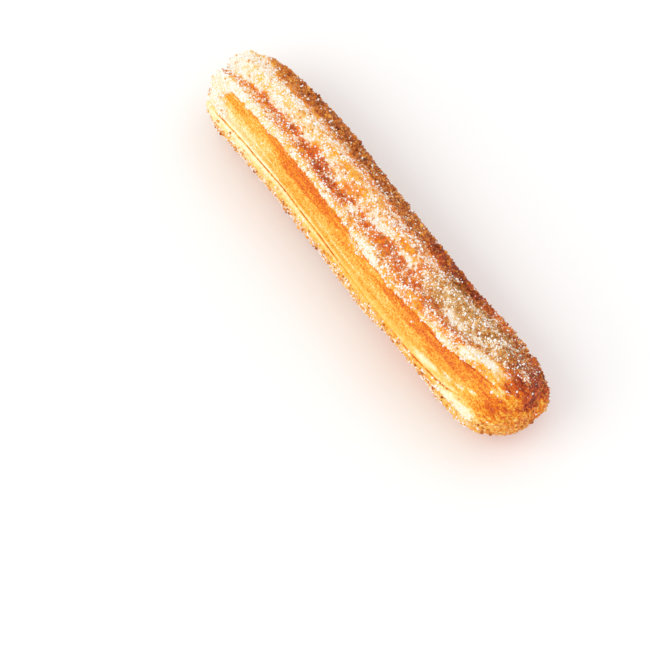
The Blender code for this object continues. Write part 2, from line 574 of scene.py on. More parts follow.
CREASES = (
    # between the pale lip and the channel's floor
    Crease("lip_crease",
           stops=(0.07, 0.10, 0.18, 0.35, 0.47, 0.54, 0.66, 0.73, 0.82, 0.85, 0.870, 0.890),
           route=(-70.0, -69.0, -68.0, -68.0, -69.0, -69.0, -72.0, -73.0, -73.5, -71.5, -68.5, -64.0),
           strength=(0.0, 0.9, 1.0, 0.9, 0.7, 0.25, 0.0, 0.5, 0.8, 0.8, 0.5, 0.0),
           tone=0.50, highlight_tone=0.10, depth=0.30 * MM),
    # under the sugared edge of the narrow ridge, where it meets the channel's flank: a line of painted shade
    # under that edge
    Crease("flank_crease",
           stops=(0.76, 0.80, 0.823, 0.85, 0.874, 0.918, 0.935),
           route=(-39.0, -38.0, -36.5, -35.0, -33.5, -27.5, -24.0),
           strength=(0.0, 0.4, 0.9, 1.0, 1.0, 0.9, 0.0),
           tone=0.26, highlight_tone=0.0, depth=0.20 * MM),
)


@dataclass(frozen=True)
class FryMap:
    """Reads the bands and patches as fields over the crust: browning with painted light and shade, and how
    sugar clings.
    """

    axis: StickAxis = StickAxis()
    # the coat's lines wander around and along the stick, and its sugar lies in drifts and clumps
    wander: Noise = Noise(size=6.0 * MM, seed=11.0)
    slide: Noise = Noise(size=6.0 * MM, seed=5.0)
    drifts: Noise = Noise(size=2.6 * MM, seed=17.0)
    clumps: Noise = Noise(size=1.05 * MM, seed=3.0)
    wander_around: float = 3.0
    wander_along: float = 0.012
    clump_wander: float = 0.5
    drift_cling: float = 0.30
    clump_cling: float = 0.42
    patchy_from: Span = (0.04, 0.30)
    clear_of_floor: Span = (0.5 * MM, 1.4 * MM)
    # the narrow ridge and the narrow groove swing to and fro
    sweep_stops: Row = (0.0, 0.30, 0.53, 0.70, 0.80, 0.84, 0.88, 0.93, 1.0)
    sweep: Row = (1.0, 1.0, 5.0, 8.0, 8.0, 6.0, -1.0, -5.0, -5.0)
    groove_stops: Row = (
        0.0, 0.05, 0.11, 0.26, 0.32, 0.39, 0.47, 0.55, 0.61, 0.67, 0.79, 0.86, 0.92)
    groove_shift: Row = (
        15.0, 9.0, 3.5, 3.5, 6.0, 7.0, 1.0, -3.0, 0.5, 6.0, 8.0, 3.0, 0.0)
    blunt_turn: float = 12.0
    blunt_reach: Span = (0.03, 0.11)
    # crumbs edge the lip from below, and leave a bare stretch near the rounded end
    lip_crumbs: float = 0.9
    lip_crumb_start: Span = (246.0, 254.0)
    lip_crumb_edge: Span = (-76.0, -71.5)
    lip_bare_stops: Row = (0.76, 0.85, 0.93, 0.96)
    lip_bare_shift: Row = (0.0, 11.0, 11.0, 0.0)
    crumbs_even: float = 0.8
    crumbs_drifting: float = 0.5
    # the far ridges are sugared on their crests and sunk between them
    far_crests: Row = (109.0, 157.0, 201.0, 237.0)
    far_valleys: Row = (85.0, 133.0, 179.0, 219.0, 259.0)
    crest_reach: Span = (1.5, 10.0)
    valley_reach: Span = (2.0, 17.0)
    valley_lost_at_tip: float = 0.8
    crest_share: float = 0.7
    crest_drifts: Span = (-0.6, 0.1)
    crest_sugar: float = 1.0
    crest_browning: float = 0.34
    # a sugared rim closes the channel at the blunt end
    pocket_centre: Span = (0.128, -46.0)
    pocket_size: Span = (0.056, 21.0)
    pocket_rim: Span = (0.86, 1.10)
    pocket_fade: float = 0.02
    pocket_start: Span = (-70.0, -64.0)
    pocket_end: Span = (-28.0, -24.0)
    pocket_sugar: float = 0.92
    pocket_browning: float = 0.12
    # the least browning of caramel grains, and the far side's share of the dusky tone
    least_caramel: float = 0.3
    earthy_share: float = 0.55
    # the rounded end's golden rim, and where each end starts
    rim_browning: float = 0.44
    tip_reach: Span = (0.885, 0.96)
    blunt_tip_reach: Span = (0.010, 0.022)
    blunt_end: Span = (0.0, 0.03)
    rounded_end: Span = (0.98, 1.0)

    def read(self, points: np.ndarray) -> dict[str, np.ndarray]:
        """Read every field of the crust at its points.

        Args:
            points: one row of X, Y and Z for each point.

        Returns:
            The fields by name, one number for each point.
        """
        along, around = self.axis.coordinates(points)
        clump, drift = self.clumps.read(points), self.drifts.read(points)
        around_read = around + self.wander_around * (self.wander.read(points) + self.clump_wander * clump)
        around_read += np.interp(along, self.sweep_stops, self.sweep) * SWEPT.weight(along, around)
        around_read += np.interp(along, self.groove_stops, self.groove_shift) * GROOVE.weight(along, around)
        near_blunt = 1.0 - ease(along, *self.blunt_reach)
        blunt_turn = self.blunt_turn * near_blunt * BLUNT_SHOULDER.weight(along, around)
        around_read -= blunt_turn
        along_read = along + self.wander_along * self.slide.read(points)
        tip = ease(along, *self.tip_reach)
        crest = self._nearest(around_read, self.far_crests, self.crest_reach) * (1.0 - tip)
        crest *= self.crest_share * ease(drift, *self.crest_drifts)
        rim = self._pocket_rim(along_read, around_read)

        browning = self._blend(along_read, around_read, [band.browning for band in BANDS])
        sugar = self._blend(along_read, around_read, [band.sugar for band in BANDS])
        spots = [(patch.weight(along_read, around_read), patch.sugar, patch.browning) for patch in PATCHES]
        spots.append((crest, self.crest_sugar, self.crest_browning))
        spots.append((rim, self.pocket_sugar, self.pocket_browning))
        for inside, spot_sugar, spot_browning in spots:
            sugar += (spot_sugar - sugar) * inside
            browning += (spot_browning - browning) * inside
        for rim_side in (GOLDEN_RIM, UPPER_RIM):
            browning += (self.rim_browning - browning) * rim_side.weight(along, around)

        patchy = ease(sugar, *self.patchy_from)
        cling = sugar + patchy * (self.drift_cling * drift + self.clump_cling * clump)
        clear = ease(points[:, 2], *self.clear_of_floor)
        lip_bare = np.interp(along, self.lip_bare_stops, self.lip_bare_shift)
        lip_edge = ease(around, *self.lip_crumb_start) + (1.0 - ease(around + lip_bare, *self.lip_crumb_edge))
        crumbly = np.maximum(self.lip_crumbs * np.clip(lip_edge, 0.0, 1.0), CRUMBLY_CAP.weight(along, around))
        crumbly = np.maximum(crumbly, CRUMBLY_SIDE.weight(along, around - blunt_turn))
        channel = CHANNEL.weight(along_read, around_read)
        earthy = self.earthy_share * EARTHY.weight(along_read, around_read)
        valley = self._nearest(around, self.far_valleys, self.valley_reach)
        fields = {
            "browning": browning,
            "sugar": sugar,
            "cling": cling,
            "sown": cling * clear,
            "caramel": np.maximum(browning, self.least_caramel) * patchy * clear,
            "crumbly": crumbly * (self.crumbs_even + self.crumbs_drifting * drift) * clear,
            "dusk": np.maximum(DUSKY.weight(along_read, around_read), earthy),
            "channel": channel,
            "smooth": np.maximum(channel, ROUND_CAP.weight(along_read, around_read)),
            "rim": RIM_LINE.weight(along_read, around),
            "valley": valley * (1.0 - self.valley_lost_at_tip * tip),
            "tip": tip,
            "blunt_tip": 1.0 - ease(along, *self.blunt_tip_reach),
            "ends": np.maximum(1.0 - ease(along, *self.blunt_end), ease(along, *self.rounded_end)),
            "around": around,
        }
        for dent in DENTS:
            fields[dent.name] = dent.zone.weight(along, around)
        for crease in CREASES:
            fields[f"{crease.name}_offset"] = crease.offset(along, around)
            fields[f"{crease.name}_shows"] = crease.shows(along)
        return fields

    @staticmethod
    def _nearest(around: np.ndarray, lines: Row, reach: Span) -> np.ndarray:
        """Weigh how near each point lies to the nearest of some lines along the stick.

        Args:
            around: the angle of each point.
            lines: the angle of each line.
            reach: how far from a line the weight is still 1, and where it has fallen to 0.

        Returns:
            1 on a line, 0 away from all of them.
        """
        away = np.min([np.abs(turn_from(line, around)) for line in lines], axis=0)
        return 1.0 - ease(away, *reach)

    def _pocket_rim(self, along: np.ndarray, around: np.ndarray) -> np.ndarray:
        """Find the sugared rim that closes the channel at the blunt end.

        Args:
            along: the share of the length of each point.
            around: the angle of each point.

        Returns:
            1 on the rim, 0 away from it.
        """
        middle_along, middle_around = self.pocket_centre
        reach = np.hypot((along - middle_along) / self.pocket_size[0],
                         (around - middle_around) / self.pocket_size[1])
        near = 1.0 - ease(along, middle_along - self.pocket_fade, middle_along)
        beside = ease(around, *self.pocket_start) * (1.0 - ease(around, *self.pocket_end))
        return ease(reach, *self.pocket_rim) * near * beside

    @staticmethod
    def _blend(along: np.ndarray, around: np.ndarray, rows: list[tuple[int, ...]]) -> np.ndarray:
        """Blend the bands' values along and around the stick.

        Args:
            along: the share of the length of each point.
            around: the angle of each point.
            rows: one tuple of station values for each band, in hundredths.

        Returns:
            The blended value at each point.
        """
        angles = np.array([band.angle for band in BANDS])
        wrapped = (around - angles[0]) % 360.0 + angles[0]
        closed = np.append(angles, angles[0] + 360.0)
        values = np.array([np.interp(along, STATIONS, np.array(row) / 100.0) for row in (*rows, rows[0])])
        index = np.clip(np.searchsorted(closed, wrapped, side="right") - 1, 0, len(angles) - 1)
        share = ease((wrapped - closed[index]) / (closed[index + 1] - closed[index]), 0.0, 1.0)
        columns = np.arange(len(around))
        return values[index, columns] * (1.0 - share) + values[index + 1, columns] * share


# Finishes


@dataclass(frozen=True)
class FriedDough:
    """Choux dough pressed through a nozzle and deep fried.

    The bare dough is smooth, golden and a little oily. Where it rose it fried orange to dark brown, and
    the finest sugar clings to it as a matt cream film. Its tone also carries painted highlights and
    painted shade, which the browning field brings in.
    """

    name: str = "fried_choux_dough"
    tones: Stops = (
        (0.00, "#FFF3CC"), (0.10, "#FBE09A"), (0.20, "#F9C658"), (0.31, "#F7AB2A"), (0.43, "#EC7E0A"),
        (0.55, "#DC5E0A"), (0.68, "#B8430D"), (0.82, "#8A2D08"), (1.00, "#5C1C06"))
    dusky_tones: Stops = ((0.10, "#E8C384"), (0.40, "#C98E3E"), (0.65, "#A0601C"), (1.00, "#56290A"))
    film: str = "#FFFAEC"
    film_shade: str = "#F2CB86"
    # each pattern's real size, and how many finer layers it has
    noises: tuple[tuple[str, float, float], ...] = (
        ("blister", 3.2 * MM, 3.0), ("mottle", 1.0 * MM, 3.0), ("speck", 0.42 * MM, 2.0))
    noise_roughness: float = 0.6
    streak_length: float = 12.0 * MM
    streak_width: float = 0.8 * MM
    # what each pattern adds to the tone: where the dough rose, everywhere, and with one field
    risen: Weights = (("blister", 0.7), ("mottle", 0.8), ("speck", 0.3))
    risen_browning: Span = (0.22, 0.70)
    risen_least: float = 0.16
    risen_smooth: float = 0.25
    everywhere: Weights = (("streak", 0.18), ("speck", 0.26), ("mottle", 0.12))
    by_field: tuple[tuple[str, Weights], ...] = (
        ("dusk", (("speck", 0.9), ("mottle", 0.7))),
        ("smooth", (("speck", 0.5), ("streak", 0.2))),
        ("tip", (("streak", 0.50), ("blister", 0.25))))
    # the creases, in degrees from their line: a brown middle of painted shade, broken where the blisters wear
    # it away, and pale edges of painted highlight from inner to outer
    crease_wobble: Weights = (("mottle", 1.2),)
    crease_line: Span = (1.05, 0.25)
    crease_inner: Span = (0.9, 2.0)
    crease_outer: Span = (5.0, 2.4)
    crease_worn: Span = (0.30, 0.58)
    # the sugar film: where it starts and is full, and where it turns white
    film_grain: Weights = (("speck", 2.0), ("mottle", 0.9))
    film_cover: Span = (0.50, 0.86)
    film_most: float = 0.88
    film_white: Span = (0.55, 1.15)
    relief: Weights = (("mottle", 1.2), ("streak", 0.5))
    relief_strength: float = 0.35
    relief_height: float = 0.25 * MM
    bare_roughness: float = 0.38
    sugared_roughness: float = 0.85
    shine: float = 0.25

    def build(self) -> Material:
        """Build the finish.

        Returns:
            The finished material.
        """
        material, tree, shader = new_material(self.name)
        fields = {}
        for name in ("browning", "cling", "smooth", "dusk", "tip"):
            fields[name] = add_node(tree, "ShaderNodeAttribute", attribute_name=name).outputs["Fac"]
        patterns = self._patterns(tree)

        strength = add_node(tree, "ShaderNodeMapRange", {
            "Value": fields["browning"], "From Min": self.risen_browning[0],
            "From Max": self.risen_browning[1], "To Min": self.risen_least})
        calm = add_node(tree, "ShaderNodeMapRange", {
            "Value": fields["smooth"], "To Min": 1.0, "To Max": self.risen_smooth})
        strength = add_node(tree, "ShaderNodeMath", {0: strength, 1: calm}, operation="MULTIPLY")
        tone = add_node(tree, "ShaderNodeMath", {
            0: self._sum(tree, patterns, self.risen), 1: strength, 2: fields["browning"]},
            operation="MULTIPLY_ADD")
        tone = self._sum(tree, patterns, self.everywhere, tone)
        for name, weights in self.by_field:
            tone = add_node(tree, "ShaderNodeMath", {
                0: self._sum(tree, patterns, weights), 1: fields[name], 2: tone}, operation="MULTIPLY_ADD")
        for crease in CREASES:
            tone = self._draw_crease(tree, patterns, crease, tone)

        colours = []
        for stops in (self.tones, self.dusky_tones):
            colours.append(add_node(tree, "ShaderNodeValToRGB", {"Fac": tone}))
            set_stops(colours[-1].color_ramp, stops)
        base = add_node(tree, "ShaderNodeMix", {
            "Factor": fields["dusk"], COLOUR_A: colours[0], COLOUR_B: colours[1]}, data_type="RGBA")
        clung = self._sum(tree, patterns, self.film_grain, fields["cling"])
        cover = add_node(tree, "ShaderNodeMapRange", {
            "Value": clung, "From Min": self.film_cover[0], "From Max": self.film_cover[1],
            "To Max": self.film_most}, interpolation_type="SMOOTHSTEP")
        whiteness = add_node(tree, "ShaderNodeMapRange", {
            "Value": clung, "From Min": self.film_white[0], "From Max": self.film_white[1]})
        film = add_node(tree, "ShaderNodeMix", {
            "Factor": whiteness, COLOUR_A: linear(self.film_shade), COLOUR_B: linear(self.film)},
            data_type="RGBA")
        colour = add_node(tree, "ShaderNodeMix", {
            "Factor": cover, COLOUR_A: base, COLOUR_B: film}, data_type="RGBA")
        roughness = add_node(tree, "ShaderNodeMapRange", {
            "Value": cover, "To Min": self.bare_roughness, "To Max": self.sugared_roughness})
        bump = add_node(tree, "ShaderNodeBump", {
            "Height": self._sum(tree, patterns, self.relief, patterns["speck"]),
            "Strength": self.relief_strength, "Distance": self.relief_height})

        connect(tree, shader, {
            "Base Color": colour, "Roughness": roughness, "Normal": bump, "Specular IOR Level": self.shine})
        return material

    def _patterns(self, tree: NodeTree) -> Patterns:
        """Lay out the even noises of the dough, and its streaks drawn out along the stick.

        Args:
            tree: the node tree.

        Returns:
            Each pattern by name, from 0 to 1.
        """
        place = add_node(tree, "ShaderNodeTexCoord").outputs["Object"]
        patterns = {}
        for name, size, detail in self.noises:
            patterns[name] = add_node(tree, "ShaderNodeTexNoise", {
                "Vector": place, "Scale": 1.0 / size, "Detail": detail,
                "Roughness": self.noise_roughness}).outputs["Fac"]
        closeness = 1.0 / self.streak_width
        drawn = add_node(tree, "ShaderNodeMapping", {
            "Vector": place, "Scale": (1.0 / self.streak_length, closeness, closeness)})
        patterns["streak"] = add_node(tree, "ShaderNodeTexNoise", {
            "Vector": drawn, "Scale": 1.0, "Detail": 2.0}).outputs["Fac"]
        return patterns

    def _draw_crease(self, tree: NodeTree, patterns: Patterns, crease: Crease, tone: Node) -> Node:
        """Draw a thin brown crease as painted shade, and its pale edges as painted highlights, broken here
        and there.

        Args:
            tree: the node tree.
            patterns: the dough's patterns by name.
            crease: the crease to draw.
            tone: the dough's tone.

        Returns:
            The tone with the crease.
        """
        offset, shows = (
            add_node(tree, "ShaderNodeAttribute", attribute_name=f"{crease.name}_{part}").outputs["Fac"]
            for part in ("offset", "shows"))
        offset = self._sum(tree, patterns, self.crease_wobble, offset)
        away = add_node(tree, "ShaderNodeMath", {0: offset}, operation="ABSOLUTE")
        line, inner, outer, worn = (
            add_node(tree, "ShaderNodeMapRange", {"Value": value, "From Min": low, "From Max": high},
                     interpolation_type="SMOOTHSTEP")
            for value, (low, high) in (
                (away, self.crease_line), (away, self.crease_inner), (away, self.crease_outer),
                (patterns["blister"], self.crease_worn)))
        for first, second, weight in ((line, worn, crease.tone), (inner, outer, -crease.highlight_tone)):
            drawn = add_node(tree, "ShaderNodeMath", {0: first, 1: second}, operation="MULTIPLY")
            shown = add_node(tree, "ShaderNodeMath", {0: shows, 1: weight}, operation="MULTIPLY")
            tone = add_node(tree, "ShaderNodeMath", {0: drawn, 1: shown, 2: tone}, operation="MULTIPLY_ADD")
        return tone

    @staticmethod
    def _sum(tree: NodeTree, patterns: Patterns, weights: Weights,
             base: Node | NodeSocket | float = 0.0) -> Node:
        """Add patterns to a base value, each centred on 0 first.

        Args:
            tree: the node tree.
            patterns: the patterns by name, from 0 to 1.
            weights: the name of each pattern to add and its weight.
            base: the value to start from.

        Returns:
            The summed value.
        """
        for name, weight in weights:
            centred = add_node(tree, "ShaderNodeMath", {0: patterns[name], 1: 0.5}, operation="SUBTRACT")
            base = add_node(tree, "ShaderNodeMath", {0: centred, 1: weight, 2: base},
                            operation="MULTIPLY_ADD")
        return base


@dataclass(frozen=True)
class GrainFinish:
    """Sugar crystals or fried crumbs: neighbouring tones, mixed from grain to grain and in patches."""

    name: str
    tones: Stops
    roughness: float
    shine: float = 0.5
    patch_size: float = 3.0 * MM
    patch_share: float = 0.35

    def build(self) -> Material:
        """Build the finish.

        Returns:
            The finished material.
        """
        material, tree, shader = new_material(self.name)
        place = add_node(tree, "ShaderNodeTexCoord").outputs["Object"]
        tint = add_node(tree, "ShaderNodeAttribute", attribute_name="tint").outputs["Fac"]
        patch = add_node(tree, "ShaderNodeTexNoise", {
            "Vector": place, "Scale": 1.0 / self.patch_size, "Detail": 2.0})
        mixed = add_node(tree, "ShaderNodeMix", {
            "Factor": self.patch_share, NUMBER_A: tint, NUMBER_B: patch}, data_type="FLOAT")
        ramp = add_node(tree, "ShaderNodeValToRGB", {"Fac": mixed})
        set_stops(ramp.color_ramp, self.tones)
        connect(tree, shader, {
            "Base Color": ramp, "Roughness": self.roughness, "Specular IOR Level": self.shine})
        return material


# clear crystals with flat faces, which glint white
WHITE_SUGAR = GrainFinish(
    "white_sugar_crystals", ((0.15, "#FFF6E2"), (0.4, "#FFFFFF"), (0.8, "#FFFFFF")), roughness=0.5)
# a dust of fine sugar, matt and cream
FINE_SUGAR = GrainFinish(
    "fine_sugar", ((0.15, "#F6D498"), (0.4, "#FFF2D6"), (0.7, "#FFFFFA")), roughness=0.6)
# sugar that melted and set as caramel, golden to dark brown, a little smoother
BROWNED_SUGAR = GrainFinish(
    "browned_sugar", ((0.18, "#FBDCA2"), (0.4, "#ECA850"), (0.62, "#C06420"), (0.85, "#8A3A10")),
    roughness=0.45, shine=0.25)
# crumbs of fried dough, matt and golden with brown ones among them
FRIED_CRUMB = GrainFinish(
    "fried_crumbs",
    ((0.16, "#FFE9B4"), (0.31, "#F9C464"), (0.44, "#E8963A"), (0.56, "#BE6020"), (0.70, "#82340E")),
    roughness=0.55, shine=0.2)
# finer crumbs of the same, a shade paler
FINE_CRUMB = GrainFinish(
    "fine_crumbs",
    ((0.16, "#FFF0CC"), (0.31, "#FCD286"), (0.46, "#EDA64E"), (0.58, "#C26A28"), (0.73, "#82340E")),
    roughness=0.6, shine=0.2)


# Pieces


@dataclass
class Crust:
    """The fried dough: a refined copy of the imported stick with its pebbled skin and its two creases."""

    fry_map: FryMap = FryMap()
    merge_distance: float = 0.01 * MM
    quad_angle: float = 60.0
    quad_skew: float = 100.0
    refine_levels: int = 2
    # the skin is drawn in to leave room for what stands proud of it, most of all at the ends
    inset: float = 0.55 * MM
    inset_even: float = 0.45
    inset_at_ends: float = 0.55
    channel_depth: float = 0.45 * MM
    rim_depth: float = 0.35 * MM
    valley_depth: float = 0.55 * MM
    # pebbles and blisters, which follow the sugar and the browning
    pebble_size: float = 0.9 * MM
    pebble_height: float = 0.34 * MM
    pebble_even: float = 0.10
    pebble_following: float = 0.90
    pebble_browning: float = 0.6
    pebble_from: Span = (0.25, 0.75)
    blister_size: float = 3.2 * MM
    blister_height: float = 0.46 * MM
    blister_even: float = 0.35
    blister_following: float = 0.65
    clump_height: float = 0.16 * MM
    clump_from: Span = (0.45, 0.8)
    crease_width: Span = (0.3, 2.6)
    # shallow pleats gather into the rounded end
    pleat_depth: float = 0.28 * MM
    pleat_closeness: float = 0.1
    pleat_noise: Noise = Noise(size=1.0, seed=7.0)
    pleat_from: Span = (0.0, 0.5)
    soften_rounds: int = 12
    soften_factor: float = 0.5
    soften_above: float = 0.3
    press_steps: float = 50.0
    piece: Object | None = None

    def build(self) -> None:
        """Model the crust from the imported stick."""
        self.piece = self._copy_of_stick()
        apply_modifier(self.piece, "SUBSURF", levels=self.refine_levels, render_levels=self.refine_levels)
        fields = self.fry_map.read(self._points())
        for name, values in fields.items():
            attribute = self.piece.data.attributes.new(name, "FLOAT", "POINT")
            attribute.data.foreach_set("value", values.astype(np.float32))
        self._soften(fields["tip"])
        self._press("skin", self.inset_even + self.inset_at_ends * fields["ends"], -self.inset)
        for dent in DENTS:
            self._press(dent.name, fields[dent.name], -dent.depth, push=dent.push)
        self._soften(fields["blunt_tip"])
        self._press("channel", fields["channel"], -self.channel_depth)
        self._press("rim", fields["rim"], -self.rim_depth)
        self._press("valley", fields["valley"], -self.valley_depth)
        self._pebble(fields)
        self._press("clump", ease(fields["cling"], *self.clump_from), self.clump_height)
        for crease in CREASES:
            beside = ease(np.abs(fields[f"{crease.name}_offset"]), *self.crease_width)
            self._press(crease.name, fields[f"{crease.name}_shows"] * (1.0 - beside), -crease.depth)
        fluting = self.pleat_noise.read(np.stack([fields["around"] * self.pleat_closeness] * 3, axis=1))
        self._press("pleat", fields["tip"] * ease(fluting, *self.pleat_from), -self.pleat_depth)
        self._settle()
        select_only(self.piece)
        bpy.ops.object.shade_smooth()

    def dress(self) -> None:
        """Give the crust its finish."""
        self.piece.data.materials.clear()
        self.piece.data.materials.append(FriedDough().build())
        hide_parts(NODE)
        ride(self.piece)

    def _copy_of_stick(self) -> Object:
        """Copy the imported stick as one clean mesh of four-sided faces.

        Returns:
            The copy.
        """
        select_only(frame["nodes"][NODE])
        bpy.ops.object.duplicate()
        copy = bpy.context.active_object
        copy.name = "crust"
        copy.data.name = "crust"
        bpy.ops.object.parent_clear(type="CLEAR_KEEP_TRANSFORM")
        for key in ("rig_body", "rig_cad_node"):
            del copy[key]
        bpy.ops.object.mode_set(mode="EDIT")
        bpy.ops.mesh.select_all(action="SELECT")
        bpy.ops.mesh.remove_doubles(threshold=self.merge_distance)
        bpy.ops.mesh.tris_convert_to_quads(
            face_threshold=math.radians(self.quad_angle), shape_threshold=math.radians(self.quad_skew))
        bpy.ops.object.mode_set(mode="OBJECT")
        return copy

    def _points(self) -> np.ndarray:
        """Read the crust's vertices.

        Returns:
            One row of X, Y and Z for each vertex.
        """
        points = np.empty(len(self.piece.data.vertices) * 3, np.float32)
        self.piece.data.vertices.foreach_get("co", points)
        return points.reshape(-1, 3).astype(float)

    def _pebble(self, fields: dict[str, np.ndarray]) -> None:
        """Raise the pebbles and blisters of the fried skin.

        Args:
            fields: the fields by name.
        """
        fried = fields["sugar"] + self.pebble_browning * fields["browning"]
        pebbled = self.pebble_even + self.pebble_following * ease(fried, *self.pebble_from)
        blistered = self.blister_even + self.blister_following * pebbled
        for name, weights, height, size, layers in (
                ("pebble", pebbled, self.pebble_height, self.pebble_size, 2),
                ("blister", blistered, self.blister_height, self.blister_size, 1)):
            clouds = bpy.data.textures.new(name, "CLOUDS")
            clouds.noise_scale = size
            clouds.noise_depth = layers
            self._press(name, weights, height, texture=clouds, mid_level=0.5)

    def _press(self, name: str, weights: np.ndarray, strength: float, push: Push = Push.SURFACE,
               mid_level: float = 0.0, **settings: Any) -> None:
        """Press the crust in or out.

        Args:
            name: what the pressing makes.
            weights: how strongly each vertex takes part, from 0 to 1.
            strength: how far the strongest vertex moves, in metres.
            push: which way it moves.
            mid_level: the value of a pattern that moves nothing.
            settings: the pattern of the pressing, where it has one.
        """
        group = self.piece.vertex_groups.new(name=name)
        steps = np.round(np.clip(weights, 0.0, 1.0) * self.press_steps).astype(int)
        for step in np.unique(steps):
            group.add(np.flatnonzero(steps == step).tolist(), step / self.press_steps, "REPLACE")
        apply_modifier(self.piece, "DISPLACE", texture_coords="LOCAL", direction=push.value,
                       strength=strength, mid_level=mid_level, vertex_group=group.name, **settings)
        self.piece.vertex_groups.clear()

    def _soften(self, weights: np.ndarray) -> None:
        """Even out the sharp lines where the ridges run together.

        Args:
            weights: how strongly each vertex takes part, from 0 to 1.
        """
        group = self.piece.vertex_groups.new(name="soften")
        group.add(np.flatnonzero(weights > self.soften_above).tolist(), 1.0, "REPLACE")
        apply_modifier(self.piece, "SMOOTH", factor=self.soften_factor, iterations=self.soften_rounds,
                       vertex_group=group.name)
        self.piece.vertex_groups.clear()

    def _settle(self) -> None:
        """Keep the crust on the surface that the churro lies on."""
        points = self._points()
        points[:, 2] = np.maximum(points[:, 2], 0.0)
        self.piece.data.vertices.foreach_set("co", points.astype(np.float32).ravel())
        self.piece.data.update()


class GrainShape(Enum):
    """The plain solids that grains are cut from."""

    CRYSTAL = "crystal"
    CHIP = "chip"
    CRUMB = "crumb"


